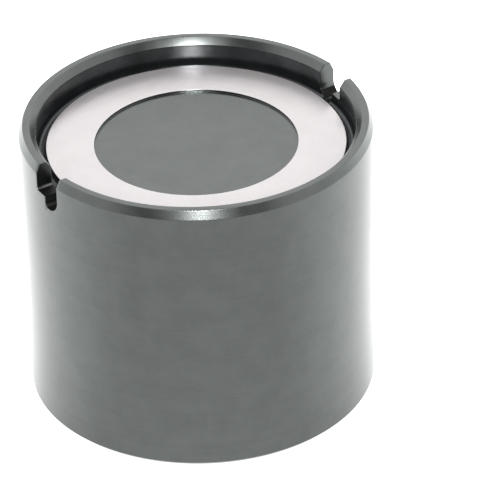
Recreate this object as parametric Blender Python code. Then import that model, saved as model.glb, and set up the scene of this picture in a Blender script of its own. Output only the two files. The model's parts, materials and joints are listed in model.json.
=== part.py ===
# Bucket valve lifter for an overhead camshaft: one steel cup, turned and ground all over.
# Metres, +Z up. The origin is the centre of the skirt's open lower edge, +Z points to the cam,
# and the two shim-removal notches lie on the X axis.

from math import cos, pi, radians, sin

import bmesh
import bpy

MM = 0.001

# Cup
OUTER_RADIUS = 17.5 * MM
HEIGHT = 29.5 * MM
SKIRT_INNER_RADIUS = 15.9 * MM
FOOT_CHAMFER = 0.4 * MM
LEAD_IN_WIDTH = 0.7 * MM
LEAD_IN_HEIGHT = 1.3 * MM

# Rim around the shim recess
RIM_INNER_RADIUS = 15.8 * MM
RIM_INNER_CHAMFER = (0.6 * MM, 0.7 * MM)
RIM_OUTER_CHAMFER = (0.4 * MM, 0.65 * MM)

# Recess floor: ground seat, relief groove outside it, relieved disc inside it
SEAT_DEPTH = 2.6 * MM
SEAT_OUTER_RADIUS = 14.85 * MM
SEAT_INNER_RADIUS = 10.2 * MM
SEAT_EDGE_CHAMFER = 0.08 * MM
GROOVE_DEPTH = 0.7 * MM
GROOVE_CORNER_ROUND = 0.3 * MM
RELIEF_DEPTH = 0.4 * MM

# Underside of the crown and the pad that the valve stem pushes on
CROWN_THICKNESS = 3.9 * MM
CROWN_FILLET = 2.5 * MM
PAD_RADIUS = 5.5 * MM
PAD_HEIGHT = 1.9 * MM
PAD_EDGE_ROUND = 0.4 * MM
PAD_FOOT_FILLET = 1.0 * MM

# Notches through the rim: a wide step, cut straight across both sides a little off the axis,
# and on each side a round-bottomed slot down the counter-clockwise end of the step
NOTCH_LOW_Y = -2.2 * MM
NOTCH_HIGH_Y = 1.5 * MM
NOTCH_DEPTH = 2.7 * MM
NOTCH_CORNER_ROUND = 0.3 * MM
SLOT_WIDTH = 1.9 * MM
SLOT_DEPTH = 3.95 * MM
NOTCH_START_RADIUS = 14.95 * MM
CUTTER_MARGIN = 1.5 * MM

# Fineness of the turned form
TURN_STEPS = 96
ROUND_STEPS = 3
SLOT_STEPS = 8
SMOOTH_ANGLE = radians(35)

# Finishes: dark treated steel, and the bright seat ground after it
DARK_STEEL = {"color": (0.165, 0.175, 0.170, 1.0), "metallic": 0.85, "roughness": 0.42}
GROUND_STEEL = {"color": (0.720, 0.700, 0.710, 1.0), "metallic": 1.0, "roughness": 0.22}


def arc(center, radius, start_deg, end_deg, steps=ROUND_STEPS):
    """Points of a round from one angle to the other, both ends included."""
    points = []
    for i in range(steps + 1):
        angle = radians(start_deg + (end_deg - start_deg) * i / steps)
        points.append((center[0] + radius * cos(angle), center[1] + radius * sin(angle)))
    return points


def recess_section():
    """Radius and height from the centre of the recess out to the rim's top."""
    seat = HEIGHT - SEAT_DEPTH
    relief = seat - RELIEF_DEPTH
    groove = seat - GROOVE_DEPTH
    edge = SEAT_EDGE_CHAMFER
    corner = GROOVE_CORNER_ROUND
    points = [(0, relief), (SEAT_INNER_RADIUS, relief)]
    points += [(SEAT_INNER_RADIUS, seat - edge), (SEAT_INNER_RADIUS + edge, seat)]
    points += [(SEAT_OUTER_RADIUS - edge, seat), (SEAT_OUTER_RADIUS, seat - edge)]
    points += [(SEAT_OUTER_RADIUS, groove)]
    points += arc((RIM_INNER_RADIUS - corner, groove + corner), corner, -90, 0)
    width, drop = RIM_INNER_CHAMFER
    points += [(RIM_INNER_RADIUS, HEIGHT - drop), (RIM_INNER_RADIUS + width, HEIGHT)]
    return points


def wall_section():
    """From the rim's outer chamfer down the ground outside to the foot and its lead-in chamfer."""
    width, drop = RIM_OUTER_CHAMFER
    points = [(OUTER_RADIUS - width, HEIGHT), (OUTER_RADIUS, HEIGHT - drop)]
    points += [(OUTER_RADIUS, FOOT_CHAMFER)]
    points += [(OUTER_RADIUS - FOOT_CHAMFER, 0), (SKIRT_INNER_RADIUS + LEAD_IN_WIDTH, 0)]
    points += [(SKIRT_INNER_RADIUS, LEAD_IN_HEIGHT)]
    return points


def underside_section():
    """Up inside the skirt, round the crown's fillet and in over the stem pad to the centre."""
    crown = HEIGHT - SEAT_DEPTH - CROWN_THICKNESS
    pad = crown - PAD_HEIGHT
    foot = PAD_RADIUS + PAD_FOOT_FILLET
    points = arc((SKIRT_INNER_RADIUS - CROWN_FILLET, crown - CROWN_FILLET), CROWN_FILLET, 0, 90, 5)
    points += arc((foot, crown - PAD_FOOT_FILLET), PAD_FOOT_FILLET, 90, 180)
    points += arc((PAD_RADIUS - PAD_EDGE_ROUND, pad + PAD_EDGE_ROUND), PAD_EDGE_ROUND, 0, -90)
    points += [(0, pad)]
    return points


def new_object(name, bm, collection):
    mesh = bpy.data.meshes.new(name)
    bm.to_mesh(mesh)
    bm.free()
    obj = bpy.data.objects.new(name, mesh)
    collection.objects.link(obj)
    return obj


def turned_body(name, section, collection):
    """A closed section, from the axis round to the axis again, spun about Z."""
    bm = bmesh.new()
    verts = [bm.verts.new((radius, 0, height)) for radius, height in section]
    edges = [bm.edges.new(pair) for pair in zip(verts, verts[1:])]
    bmesh.ops.spin(bm, geom=verts + edges, cent=(0, 0, 0), axis=(0, 0, 1), angle=2 * pi,
                   steps=TURN_STEPS, use_merge=True)
    bmesh.ops.remove_doubles(bm, verts=bm.verts, dist=MM / 1000)
    bmesh.ops.recalc_face_normals(bm, faces=bm.faces)
    return new_object(name, bm, collection)


def notch_outline(low, high):
    """The notch seen from outside: Y to one side and Z up, the slot at its high end."""
    floor = HEIGHT - NOTCH_DEPTH
    radius = SLOT_WIDTH / 2
    corner = NOTCH_CORNER_ROUND
    slot_center = (high - radius, HEIGHT - SLOT_DEPTH + radius)
    points = [(high, HEIGHT + CUTTER_MARGIN), (low, HEIGHT + CUTTER_MARGIN)]
    points += arc((low + corner, floor + corner), corner, 180, 270)
    points += [(high - SLOT_WIDTH, floor)]
    points += arc(slot_center, radius, 180, 360, SLOT_STEPS)
    return points


def notch_cutter(name, side, collection):
    """The notch outline run outwards through the rim, on +X or, turned half round, on -X."""
    low, high = (NOTCH_LOW_Y, NOTCH_HIGH_Y) if side > 0 else (-NOTCH_HIGH_Y, -NOTCH_LOW_Y)
    bm = bmesh.new()
    start = NOTCH_START_RADIUS
    reach = OUTER_RADIUS + CUTTER_MARGIN
    verts = [bm.verts.new((side * start, side * y, z)) for y, z in notch_outline(low, high)]
    face = bm.faces.new(verts)
    grown = bmesh.ops.extrude_face_region(bm, geom=[face])["geom"]
    moved = [item for item in grown if isinstance(item, bmesh.types.BMVert)]
    bmesh.ops.translate(bm, verts=moved, vec=(side * (reach - start), 0, 0))
    bmesh.ops.recalc_face_normals(bm, faces=bm.faces)
    cutter = new_object(name, bm, collection)
    cutter.hide_render = True
    cutter.display_type = "WIRE"
    return cutter


def steel(name, finish):
    material = bpy.data.materials.new(name)
    material.use_nodes = True
    material.diffuse_color = finish["color"]
    shader = material.node_tree.nodes["Principled BSDF"]
    shader.inputs["Base Color"].default_value = finish["color"]
    shader.inputs["Metallic"].default_value = finish["metallic"]
    shader.inputs["Roughness"].default_value = finish["roughness"]
    return material


def finish_seat(body):
    """Dark steel all over, and the ring between the two reliefs bright."""
    body.data.materials.append(steel("dark_steel", DARK_STEEL))
    body.data.materials.append(steel("ground_steel", GROUND_STEEL))
    seat = HEIGHT - SEAT_DEPTH
    lowest = seat - SEAT_EDGE_CHAMFER
    for face in body.data.polygons:
        center = face.center
        on_seat = SEAT_INNER_RADIUS < center.xy.length < SEAT_OUTER_RADIUS
        if on_seat and lowest < center.z < seat + SEAT_EDGE_CHAMFER:
            face.material_index = 1


def build():
    for old in list(bpy.data.objects):
        bpy.data.objects.remove(old, do_unlink=True)
    collection = bpy.context.scene.collection

    section = recess_section() + wall_section() + underside_section()
    body = turned_body("lifter_body", section, collection)
    finish_seat(body)

    for side, name in ((1, "notch_cutter_right"), (-1, "notch_cutter_left")):
        cut = body.modifiers.new(name, "BOOLEAN")
        cut.operation = "DIFFERENCE"
        cut.solver = "EXACT"
        cut.object = notch_cutter(name, side, collection)

    body.data.shade_smooth()
    body.data.set_sharp_from_angle(angle=SMOOTH_ANGLE)


build()
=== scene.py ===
import json
import math

import bmesh
import bpy
from mathutils import Matrix, Vector


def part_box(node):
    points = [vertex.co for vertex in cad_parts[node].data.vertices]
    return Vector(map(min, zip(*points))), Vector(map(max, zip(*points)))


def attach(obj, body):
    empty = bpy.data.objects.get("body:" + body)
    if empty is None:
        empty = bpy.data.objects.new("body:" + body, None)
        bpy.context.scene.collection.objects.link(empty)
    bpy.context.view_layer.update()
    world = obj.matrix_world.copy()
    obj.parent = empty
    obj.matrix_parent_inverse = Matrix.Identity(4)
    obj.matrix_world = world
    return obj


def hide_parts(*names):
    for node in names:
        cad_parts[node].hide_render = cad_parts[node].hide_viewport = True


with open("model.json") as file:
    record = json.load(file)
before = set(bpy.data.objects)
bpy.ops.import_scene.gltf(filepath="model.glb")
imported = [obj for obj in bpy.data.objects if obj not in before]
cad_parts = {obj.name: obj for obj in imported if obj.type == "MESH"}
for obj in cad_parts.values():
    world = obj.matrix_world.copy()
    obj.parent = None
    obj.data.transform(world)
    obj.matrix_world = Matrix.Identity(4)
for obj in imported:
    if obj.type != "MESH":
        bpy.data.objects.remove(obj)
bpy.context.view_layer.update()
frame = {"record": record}        # one rigid cup, standing on its open skirt
mm = 0.001
weld = 0.001 * mm        # points closer than this are one

# What the frame already knows: the cup's outside, the seat's height and the stem pad's height
cupLow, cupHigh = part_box("lifter_body")
cupRadius = (cupHigh.x - cupLow.x) / 2
cupHeight = cupHigh.z
mountPlace = {m["name"]: Vector(m["pos_m"]) for m in frame["record"]["mounts"]}
seatHeight = mountPlace["shim_seat"].z
padHeight = mountPlace["stem_pad"].z


class Value:
    # a socket that takes part in Python arithmetic, one Math node for each step
    def __init__(self, tree, socket):
        self.tree = tree
        self.socket = socket

    def math(self, operation, *others):
        return self.tree.math(operation, self, *others)

    def __add__(self, other):
        return self.math("ADD", other)

    def __radd__(self, other):
        return self.math("ADD", other)

    def __sub__(self, other):
        return self.math("SUBTRACT", other)

    def __rsub__(self, other):
        return self.tree.math("SUBTRACT", other, self)

    def __mul__(self, other):
        return self.math("MULTIPLY", other)

    def __rmul__(self, other):
        return self.math("MULTIPLY", other)

    def __truediv__(self, other):
        return self.math("DIVIDE", other)


class NodeTree:
    # builds a node tree, for a material, the world or a geometry group
    def __init__(self, tree):
        self.tree = tree
        tree.nodes.clear()

    def node(self, kind, settings=None, **sockets):
        # a socket goes by its name, or by i and its number
        made = self.tree.nodes.new(kind)
        for name, setting in (settings or {}).items():
            setattr(made, name, setting)
        for name, value in sockets.items():
            key = int(name[1:]) if name[1:].isdigit() else name.replace("_", " ")
            self.feed(made.inputs[key], value)
        return made

    def feed(self, socket, value):
        if isinstance(value, Value):
            value = value.socket
        if isinstance(value, bpy.types.NodeSocket):
            self.tree.links.new(value, socket)
        else:
            socket.default_value = value

    def value(self, node, output=0):
        return Value(self, node.outputs[output])

    def math(self, operation, *inputs):
        sockets = {f"i{i}": value for i, value in enumerate(inputs)}
        return self.value(self.node("ShaderNodeMath", {"operation": operation}, **sockets))

    def smooth(self, value, low, high, kind="SMOOTHSTEP"):
        # 0 below low, 1 above high, eased between, or straight with LINEAR
        settings = {"interpolation_type": kind}
        made = self.node("ShaderNodeMapRange", settings, Value=value, From_Min=low, From_Max=high)
        return self.value(made)

    def mix(self, factor, first, second):
        made = self.node("ShaderNodeMix", {"data_type": "RGBA"}, i0=factor, i6=first, i7=second)
        return made.outputs[2]


def linkObject(name, data):
    made = bpy.data.objects.new(name, data)
    bpy.context.scene.collection.objects.link(made)
    return made


def roundedPath(corners, arcStep=9.0, fewest=3):
    # (across, up, rounding) at each corner; the rounding is an arc that touches both sides,
    # in steps of about arcStep degrees
    points = [Vector(corners[0][:2])]
    for before, corner, after in zip(corners, corners[1:], corners[2:]):
        spot, rounding = Vector(corner[:2]), corner[2]
        if rounding == 0:
            points.append(spot)
            continue
        back = (Vector(before[:2]) - spot).normalized()
        onward = (Vector(after[:2]) - spot).normalized()
        half = back.angle(onward) / 2
        center = spot + (back + onward).normalized() * (rounding / math.sin(half))
        start = spot + back * (rounding / math.tan(half)) - center
        turn = start.angle_signed(spot + onward * (rounding / math.tan(half)) - center)
        steps = max(fewest, round(abs(turn) / math.radians(arcStep)))
        for i in range(steps + 1):
            points.append(center + Matrix.Rotation(-turn * i / steps, 2) @ start)
    points.append(Vector(corners[-1][:2]))
    return points


# The turned section

cup = {
    "around": 174,                         # columns; none of them crosses a notch's side
    "rimInner": 15.8 * mm,                 # radius of the recess wall
    "innerChamfer": (0.6 * mm, 0.7 * mm),  # across and down
    "outerChamfer": (0.42 * mm, 0.90 * mm),
    "rimRound": 0.10 * mm,                 # where the chamfers meet the flat land
    "wallRound": 0.30 * mm,                # where they run out into the walls
    "seatOuter": 14.85 * mm,
    "seatInner": 10.10 * mm,
    "seatEdge": 0.04 * mm,                 # broken edge on both sides of the seat
    "reliefDepth": 0.25 * mm,              # of the disc inside the seat
    "reliefRound": 0.04 * mm,
    "grooveDepth": 0.7 * mm,               # of the groove outside it
    "grooveRound": 0.3 * mm,
    "wallFootRound": 0.45 * mm,            # where the recess wall meets the groove
    "skirtInner": 15.9 * mm,
    "footChamfer": 0.4 * mm,
    "footRound": 0.15 * mm,
    "leadIn": (0.7 * mm, 1.3 * mm),
    "crownThickness": 3.9 * mm,
    "crownFillet": 2.5 * mm,
    "padRadius": 5.5 * mm,
    "padRound": 0.4 * mm,
    "padFillet": 1.0 * mm,
    "wallRing": 4.6 * mm,                  # a ring of points this far below the rim, under the notches
    "wallShare": 0.45,                     # and one at this share of the cup's height
    "faceShare": 0.5,                      # one across each long face inside
    "sharpAngle": 32.0,                    # degrees past which an edge isn't smoothed
    "normalWeight": 60,
}


def sectionCorners():
    relief = seatHeight - cup["reliefDepth"]
    groove = seatHeight - cup["grooveDepth"]
    crown = seatHeight - cup["crownThickness"]
    seatInner, seatOuter, edge = cup["seatInner"], cup["seatOuter"], cup["seatEdge"]
    rim, skirt, pad = cup["rimInner"], cup["skirtInner"], cup["padRadius"]
    innerWide, innerDeep = cup["innerChamfer"]
    outerWide, outerDeep = cup["outerChamfer"]
    leadWide, leadDeep = cup["leadIn"]
    foot, footRound = cup["footChamfer"], cup["footRound"]
    share, wallRound, rimRound = cup["faceShare"], cup["wallRound"], cup["rimRound"]
    recess = [(0, relief, 0), (seatInner * share, relief, 0), (seatInner, relief, cup["reliefRound"]),
              (seatInner, seatHeight, edge), (seatOuter, seatHeight, edge),
              (seatOuter, groove, cup["grooveRound"]), (rim, groove, cup["wallFootRound"])]
    top = [(rim, cupHeight - innerDeep, wallRound), (rim + innerWide, cupHeight, rimRound),
           (cupRadius - outerWide, cupHeight, rimRound), (cupRadius, cupHeight - outerDeep, wallRound)]
    wall = [(cupRadius, cupHeight - cup["wallRing"], 0), (cupRadius, cupHeight * cup["wallShare"], 0),
            (cupRadius, foot, footRound), (cupRadius - foot, 0, footRound),
            (skirt + leadWide, 0, footRound), (skirt, leadDeep, wallRound), (skirt, crown * share, 0)]
    underside = [(skirt, crown, cup["crownFillet"]), (pad, crown, cup["padFillet"]),
                 (pad, padHeight, cup["padRound"]), (pad * share, padHeight, 0), (0, padHeight, 0)]
    return recess + top + wall + underside


def sectionObject():
    mesh = bpy.data.meshes.new("turnedSection")
    points = roundedPath(sectionCorners())
    edges = [(i, i + 1) for i in range(len(points) - 1)]
    mesh.from_pydata([(radius, 0, height) for radius, height in points], edges, [])
    return linkObject("turnedSection", mesh)


# The notches

notch = {
    "count": 2,
    "aside": -0.37 * mm,         # both are cut in one line that passes the axis at this distance
    "width": 3.58 * mm,
    "depth": 2.7 * mm,
    "cornerRound": 0.3 * mm,
    "slotWidth": 1.98 * mm,      # the slot goes down at the counter-clockwise end
    "slotDepth": 3.85 * mm,
    "slotRound": (0.45 * mm, 1.30 * mm),  # at the slot's inner and outer side
    "rise": 0.5 * mm,            # how much shallower the one on +X is
    "start": 14.95 * mm,         # inside the groove
    "overrun": 1.5 * mm,
    "edgeBreak": 0.08 * mm,      # the deburred edge
    "edgeStart": 0.9 * mm,       # edges up to this far inside the recess wall are broken too
    "edgeAngle": 40.0,           # degrees past which an edge counts as sharp
    "slack": 0.01 * mm,
}


def notchCutter():
    half, top = notch["width"] / 2, cupHeight + notch["overrun"]
    floor = cupHeight - notch["depth"]
    bottom = cupHeight - notch["slotDepth"]
    slotSide, (innerRound, outerRound) = half - notch["slotWidth"], notch["slotRound"]
    corners = [(half, top, 0), (-half, top, 0), (-half, floor, notch["cornerRound"]), (slotSide, floor, 0),
               (slotSide, bottom, innerRound), (half, bottom, outerRound), (half, top, 0)]
    outline = roundedPath(corners)[:-1]
    bm = bmesh.new()
    face = bm.faces.new([bm.verts.new((notch["start"], y, z)) for y, z in outline])
    grown = bmesh.ops.extrude_face_region(bm, geom=[face])["geom"]
    reach = cupRadius + notch["overrun"] - notch["start"]
    moved = [part for part in grown if isinstance(part, bmesh.types.BMVert)]
    bmesh.ops.translate(bm, verts=moved, vec=(reach, 0, 0))
    bmesh.ops.recalc_face_normals(bm, faces=bm.faces)
    mesh = bpy.data.meshes.new("notchCutter")
    bm.to_mesh(mesh)
    bm.free()
    return linkObject("notchCutter", mesh)


# Geometry Nodes: the section turned round the axis, and the notch cut at even steps round the rim

def turningTree():
    group = bpy.data.node_groups.new("turnedCup", "GeometryNodeTree")
    face = group.interface
    for name, kind in (("Section", "Object"), ("Cutter", "Object"), ("Around", "Int"),
                       ("Notches", "Int"), ("Aside", "Float"), ("Rise", "Float"), ("Steel", "Material")):
        face.new_socket(name, in_out="INPUT", socket_type="NodeSocket" + kind)
    face.new_socket("Cup", in_out="OUTPUT", socket_type="NodeSocketGeometry")
    t = NodeTree(group)
    given = t.node("NodeGroupInput")
    around = Value(t, given.outputs["Around"])

    # a grid with a column for each step round, each a copy of the section
    section = t.node("GeometryNodeObjectInfo", Object=given.outputs["Section"]).outputs["Geometry"]
    size = t.node("GeometryNodeAttributeDomainSize", {"component": "MESH"}, Geometry=section)
    rows = Value(t, size.outputs["Point Count"])
    grid = t.node("GeometryNodeMeshGrid", Vertices_X=around + 1, Vertices_Y=rows)
    index = t.value(t.node("GeometryNodeInputIndex"))
    column = ((index + 0.5) / rows).math("FLOOR")      # half a step more, clear of rounding
    row = index - column * rows
    sample = t.node("GeometryNodeSampleIndex", {"data_type": "FLOAT_VECTOR", "domain": "POINT"},
                    Geometry=section, Value=t.node("GeometryNodeInputPosition").outputs[0], Index=row)
    point = t.node("ShaderNodeSeparateXYZ", Vector=sample.outputs[0])
    radius, height = t.value(point, "X"), t.value(point, "Z")
    angle = column / around * math.tau
    place = t.node("ShaderNodeCombineXYZ", X=radius * angle.math("COSINE"),
                   Y=radius * angle.math("SINE"), Z=height)
    turned = t.node("GeometryNodeSetPosition", Geometry=grid.outputs["Mesh"], Position=place.outputs[0])
    joined = t.node("GeometryNodeMergeByDistance", Geometry=turned.outputs[0], Distance=weld)

    cutter = t.node("GeometryNodeObjectInfo", Object=given.outputs["Cutter"]).outputs["Geometry"]
    notches = Value(t, given.outputs["Notches"])
    number = t.value(t.node("GeometryNodeInputIndex"))
    lift = number.math("LESS_THAN", 0.5) * Value(t, given.outputs["Rise"])    # the first one only
    spot = t.node("ShaderNodeCombineXYZ", Y=given.outputs["Aside"], Z=lift)
    spots = t.node("GeometryNodePoints", Count=notches, Position=spot.outputs[0])
    step = number / notches * math.tau
    turn = t.node("ShaderNodeCombineXYZ", Z=step)
    copies = t.node("GeometryNodeInstanceOnPoints", Points=spots.outputs[0], Instance=cutter,
                    Rotation=turn.outputs[0])
    cutters = t.node("GeometryNodeRealizeInstances", Geometry=copies.outputs[0])
    cut = t.node("GeometryNodeMeshBoolean", {"operation": "DIFFERENCE", "solver": "EXACT"},
                 i0=joined.outputs[0], i1=cutters.outputs[0])
    whole = t.node("GeometryNodeRealizeInstances", Geometry=cut.outputs["Mesh"])
    steel = t.node("GeometryNodeSetMaterial", Geometry=whole.outputs[0], Material=given.outputs["Steel"])
    t.node("NodeGroupOutput", i0=steel.outputs[0])
    return group


def runTree(host, group, settings):
    modifier = host.modifiers.new(group.name, "NODES")
    modifier.node_group = group
    for item in group.interface.items_tree:
        if item.item_type == "SOCKET" and item.name in settings:
            modifier[item.identifier] = settings[item.name]
    host.update_tag()
    evaluated = host.evaluated_get(bpy.context.evaluated_depsgraph_get())
    mesh = bpy.data.meshes.new_from_object(evaluated)
    host.modifiers.remove(modifier)
    return mesh


def inNotch(place, spare=0.0):
    # whether a place is within the line that both notches are cut in
    along = abs(place.y - notch["aside"])
    return abs(place.x) > notch["start"] - spare and along < notch["width"] / 2 + spare


def breakNotchEdges(mesh):
    # a deburred edge round every cut face: the sharp edges in the notches' own space
    bm = bmesh.new()
    bm.from_mesh(mesh)
    bmesh.ops.remove_doubles(bm, verts=bm.verts, dist=weld)
    bmesh.ops.dissolve_degenerate(bm, edges=bm.edges, dist=2 * weld)
    slack = notch["slack"]
    lowest = cupHeight - notch["slotDepth"] - slack
    innermost = cup["rimInner"] - notch["edgeStart"]
    least = math.radians(notch["edgeAngle"])
    sharp = []
    for edge in bm.edges:
        inside = all(inNotch(v.co, slack) and abs(v.co.x) > innermost and v.co.z > lowest
                     for v in edge.verts)
        if inside and len(edge.link_faces) == 2 and edge.calc_face_angle(0) > least and edge.is_convex:
            sharp.append(edge)
    bmesh.ops.bevel(bm, geom=sharp, offset=notch["edgeBreak"], offset_type="OFFSET", segments=2,
                    profile=0.5, affect="EDGES", clamp_overlap=False)
    bmesh.ops.remove_doubles(bm, verts=bm.verts, dist=2 * weld)
    bmesh.ops.recalc_face_normals(bm, faces=bm.faces)
    bm.to_mesh(mesh)
    bm.free()
    return len(sharp)


# Finishes

finish = {
    # turned and treated all over
    "darkSteel": {"color": (0.140, 0.150, 0.147), "vary": 0.06, "metal": 1.0,
                  "roughness": 0.28, "mottle": 0.08, "pitch": 0.09 * mm, "marks": 0.0020 * mm},
    # the seat, ground bright afterwards
    "groundSteel": {"color": (0.588, 0.560, 0.563), "vary": 0.03, "metal": 0.6,
                    "roughness": 0.16, "mottle": 0.04, "pitch": 0.07 * mm, "marks": 0.0110 * mm},
    # turned only: the recess wall and the groove; its colour, far darker than the dark steel's, is painted
    # shade of the recess
    "shadedRecessSteel": {"color": (0.056, 0.060, 0.062), "vary": 0.25, "metal": 0.86,
                    "roughness": 0.26, "mottle": 0.08, "pitch": 0.09 * mm, "marks": 0.0020 * mm},
    # the cut faces low in the notches
    "notchBlack": {"color": (0.020, 0.020, 0.019), "vary": 0.15, "metal": 1.0,
                   "roughness": 0.50, "mottle": 0.10, "pitch": 0.12 * mm, "marks": 0.0020 * mm},
}

grain = {
    "mottleScale": 420.0,        # patches a few millimetres across
    "mottleDetail": 4.0,
    "marksDetail": 3.0,
    "noiseRoughness": 0.6,
    "middle": 0.5,               # what the noise gives on average
    "marksShare": 0.5,           # of the fine marks in the colour, beside the mottle
    "colorRange": (0.5, 1.0),    # from the darker to the lighter colour
}


def steelMaterial(name):
    # fine rings round the axis on flat faces, fine lines round the walls, a slight mottle over both
    look = finish[name]
    material = bpy.data.materials.new(name)
    material.use_nodes = True
    t = NodeTree(material.node_tree)
    coords = t.node("ShaderNodeTexCoord").outputs["Object"]
    parts = t.node("ShaderNodeSeparateXYZ", Vector=coords)
    x, y, z = (t.value(parts, i) for i in range(3))
    radius = (x * x + y * y).math("SQRT")
    place = t.node("ShaderNodeCombineXYZ", X=radius / look["pitch"], Y=z / look["pitch"])
    marks = t.value(t.node("ShaderNodeTexNoise", {"noise_dimensions": "2D"}, Vector=place.outputs[0],
                           Scale=1.0, Detail=grain["marksDetail"], Roughness=grain["noiseRoughness"]))
    mottle = t.value(t.node("ShaderNodeTexNoise", Vector=coords, Scale=grain["mottleScale"],
                            Detail=grain["mottleDetail"], Roughness=grain["noiseRoughness"]))
    base = Vector(look["color"])
    low, high = base * (1 - look["vary"]), base * (1 + look["vary"])
    blend = t.smooth(mottle + marks * grain["marksShare"], *grain["colorRange"])
    color = t.mix(blend, (*low, 1.0), (*high, 1.0))
    roughness = look["roughness"] + (mottle - grain["middle"]) * look["mottle"]
    bump = t.node("ShaderNodeBump", Strength=1.0, Distance=look["marks"], Height=marks)
    shader = t.node("ShaderNodeBsdfPrincipled", Base_Color=color, Metallic=look["metal"],
                    Roughness=roughness, Normal=bump.outputs[0])
    t.node("ShaderNodeOutputMaterial", Surface=shader.outputs[0])
    return material


def finishOf(place):
    # number of the finish, in the dictionary's order, of the face at that place; the shares of the
    # seat's edge are slack, because the middle of a face lies a little inside its circle
    radius, edge = place.xy.length, cup["seatEdge"]
    names = list(finish)
    groove = seatHeight - cup["grooveDepth"]
    if place.z < padHeight + edge or radius > cupRadius - edge / 2:
        return names.index("darkSteel")
    if cup["seatInner"] < radius < cup["seatOuter"] and abs(place.z - seatHeight) < edge:
        return names.index("groundSteel")
    if inNotch(place) and place.z < cupHeight - notch["depth"] + edge:
        if place.z < groove - edge or radius > cup["rimInner"] - edge / 4:
            return names.index("notchBlack")
    # the recess wall and the groove take the darker colour that paints in the recess's shade
    low = groove - edge < place.z < cupHeight - cup["innerChamfer"][1]
    if low and cup["seatOuter"] - edge < radius < cup["rimInner"] + edge:
        return names.index("shadedRecessSteel")
    return names.index("darkSteel")


def makeCup():
    steels = [steelMaterial(name) for name in finish]
    section, cutter = sectionObject(), notchCutter()
    host = linkObject("cupHost", bpy.data.meshes.new("cupHost"))
    settings = {"Section": section, "Cutter": cutter, "Around": cup["around"],
                "Notches": notch["count"], "Aside": notch["aside"], "Rise": notch["rise"],
                "Steel": steels[0]}
    mesh = runTree(host, turningTree(), settings)
    for helper in (host, section, cutter):
        bpy.data.objects.remove(helper, do_unlink=True)
    broken = breakNotchEdges(mesh)
    mesh.materials.clear()
    for steel in steels:
        mesh.materials.append(steel)
    for polygon in mesh.polygons:
        polygon.material_index = finishOf(polygon.center)
    mesh.shade_smooth()
    mesh.set_sharp_from_angle(angle=math.radians(cup["sharpAngle"]))
    made = linkObject("lifterCup", mesh)
    print("cup:", len(mesh.polygons), "faces,", broken, "notch edges broken")
    return made


def weightNormals(piece):
    modifier = piece.modifiers.new("weightedNormals", "WEIGHTED_NORMAL")
    modifier.keep_sharp = True
    modifier.weight = cup["normalWeight"]
    evaluated = piece.evaluated_get(bpy.context.evaluated_depsgraph_get())
    mesh = bpy.data.meshes.new_from_object(evaluated)
    piece.modifiers.remove(modifier)
    piece.data = mesh


# Camera

view = {
    "turn": -32.5,        # degrees about Z from the notch line to the picture's right
    "elevation": 32.6,
    "roll": -1.37,
    "distance": 0.400,
    "aim": (0.0, 0.0, 0.014),
    "right": 0.00505,     # the camera's own sideways offset from the aim
    "up": -0.00001,
    "lens": 3977.6,       # in pixels of the 500 pixel picture
    "pixels": 500,
    "sensor": 36.0,
    "clip": (0.01, 20.0),
}


def makeCamera():
    camera = bpy.data.cameras.new("camera")
    camera.sensor_width = view["sensor"]
    camera.lens = view["lens"] / view["pixels"] * view["sensor"]
    camera.clip_start, camera.clip_end = view["clip"]
    made = linkObject("camera", camera)
    turn = Matrix.Rotation(math.radians(view["turn"]), 4, "Z")
    tilt = Matrix.Rotation(math.radians(90 - view["elevation"]), 4, "X")
    roll = Matrix.Rotation(math.radians(view["roll"]), 4, "Z")
    offset = Matrix.Translation((view["right"], view["up"], view["distance"]))
    made.matrix_world = Matrix.Translation(view["aim"]) @ turn @ tilt @ offset @ roll
    bpy.context.scene.camera = made


# Light: a white floor, bright behind the lifter, a dark part of the room above the camera, and in it
# a tall lamp with a soft surround

light = {
    "floorSize": 1.6,
    "floorFront": 1.02,          # radiance of the floor on the camera's side
    "floorBack": 2.50,
    "floorTurn": (-0.75, 0.85),  # where it goes from one to the other, by the cosine of the direction
    "floorNear": 0.08,           # share more close to the lifter's foot, on the camera's side
    "floorNearBack": 0.42,
    "nearReach": (0.018, 0.055),  # from the axis, where that share fades out
    "skyFront": 1.00,
    "skyBack": 1.40,
    "skyTurn": (-0.2, 0.8),
    "skyDark": 0.11,
    "darkElevation": 36.0,       # degrees, middle of the dark part of the room
    "darkInner": 40.0,           # degrees from that middle
    "darkOuter": 52.0,
    "backdrop": 1.05,            # what the camera itself sees past the floor
    "lampElevation": 35.5,
    "lampAside": 2.3,            # degrees to the camera's right
    "lampDistance": 0.80,
    "lampTall": 0.42,
    "lampWide": (0.025, 0.16),   # a bright core and its surround
    "lampPower": (5.4, 1.8),
}


def backDirection():
    # horizontal, away from the camera
    angle = math.radians(90 + view["turn"])
    return math.cos(angle), math.sin(angle)


def makeFloor():
    bm = bmesh.new()
    bmesh.ops.create_grid(bm, x_segments=2, y_segments=2, size=light["floorSize"])
    mesh = bpy.data.meshes.new("floor")
    bm.to_mesh(mesh)
    bm.free()
    material = bpy.data.materials.new("floorWhite")
    material.use_nodes = True
    t = NodeTree(material.node_tree)
    parts = t.node("ShaderNodeSeparateXYZ", Vector=t.node("ShaderNodeTexCoord").outputs["Object"])
    x, y = t.value(parts, 0), t.value(parts, 1)
    backX, backY = backDirection()
    away = x * backX + y * backY
    reach = (x * x + y * y).math("SQRT") + mm      # never nothing
    share = t.smooth(away / reach, *light["floorTurn"], "LINEAR")
    plain = light["floorFront"] + share * (light["floorBack"] - light["floorFront"])
    near = 1 - t.smooth(reach, *light["nearReach"])
    extra = light["floorNear"] + share * (light["floorNearBack"] - light["floorNear"])
    glow = t.node("ShaderNodeEmission", Color=plain * (near * extra + 1), Strength=1.0)
    t.node("ShaderNodeOutputMaterial", Surface=glow.outputs[0])
    mesh.materials.append(material)
    floor = linkObject("floor", mesh)


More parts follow.
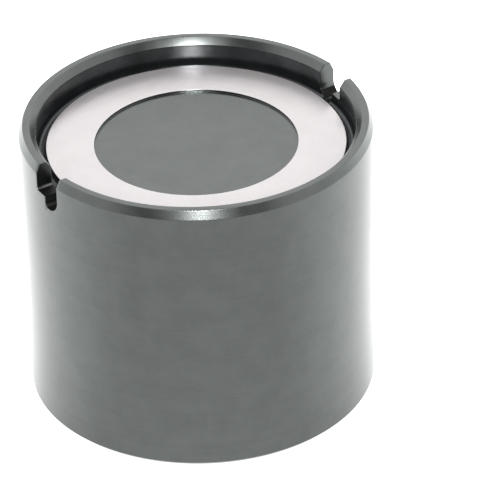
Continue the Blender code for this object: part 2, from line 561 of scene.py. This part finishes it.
def makeWorld():
    world = bpy.data.worlds.new("studio")
    bpy.context.scene.world = world
    world.use_nodes = True
    t = NodeTree(world.node_tree)
    parts = t.node("ShaderNodeSeparateXYZ", Vector=t.node("ShaderNodeTexCoord").outputs["Generated"])
    backX, backY = backDirection()
    away = t.value(parts, 0) * backX + t.value(parts, 1) * backY
    rear = t.smooth(away, *light["skyTurn"])
    plain = light["skyFront"] + rear * (light["skyBack"] - light["skyFront"])
    tilt = math.radians(light["darkElevation"])
    near = t.value(parts, 2) * math.sin(tilt) - away * math.cos(tilt)
    edges = [math.cos(math.radians(light[key])) for key in ("darkOuter", "darkInner")]
    sky = plain - t.smooth(near, *edges) * (plain - light["skyDark"])
    room = t.node("ShaderNodeBackground", Color=sky, Strength=1.0)
    white = t.node("ShaderNodeBackground", Color=(1.0, 1.0, 1.0, 1.0), Strength=light["backdrop"])
    seen = t.node("ShaderNodeLightPath").outputs["Is Camera Ray"]
    both = t.node("ShaderNodeMixShader", i0=seen, i1=room.outputs[0], i2=white.outputs[0])
    t.node("ShaderNodeOutputWorld", Surface=both.outputs[0])


def makeLamp(wide, power):
    lamp = bpy.data.lights.new("tallLamp", "AREA")
    lamp.shape = "RECTANGLE"
    lamp.size = wide
    lamp.size_y = light["lampTall"]
    lamp.energy = power
    tilt = math.radians(light["lampElevation"])
    turn = math.radians(view["turn"] - 90 + light["lampAside"])
    toward = Vector((math.cos(turn) * math.cos(tilt), math.sin(turn) * math.cos(tilt), math.sin(tilt)))
    made = linkObject("tallLamp", lamp)
    made.location = toward * light["lampDistance"] + Vector((0, 0, cupHeight))
    made.rotation_euler = toward.to_track_quat("Z", "Y").to_euler()


makeCamera()
print("camera placed")
makeFloor()
makeWorld()
for wide, power in zip(light["lampWide"], light["lampPower"]):
    makeLamp(wide, power)
scene = bpy.context.scene
scene.view_settings.view_transform = "Standard"
scene.view_settings.look = "None"
print("stage and light ready")

lifterCup = makeCup()
weightNormals(lifterCup)
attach(lifterCup, "root")
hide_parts("lifter_body")
print("lifter dressed")
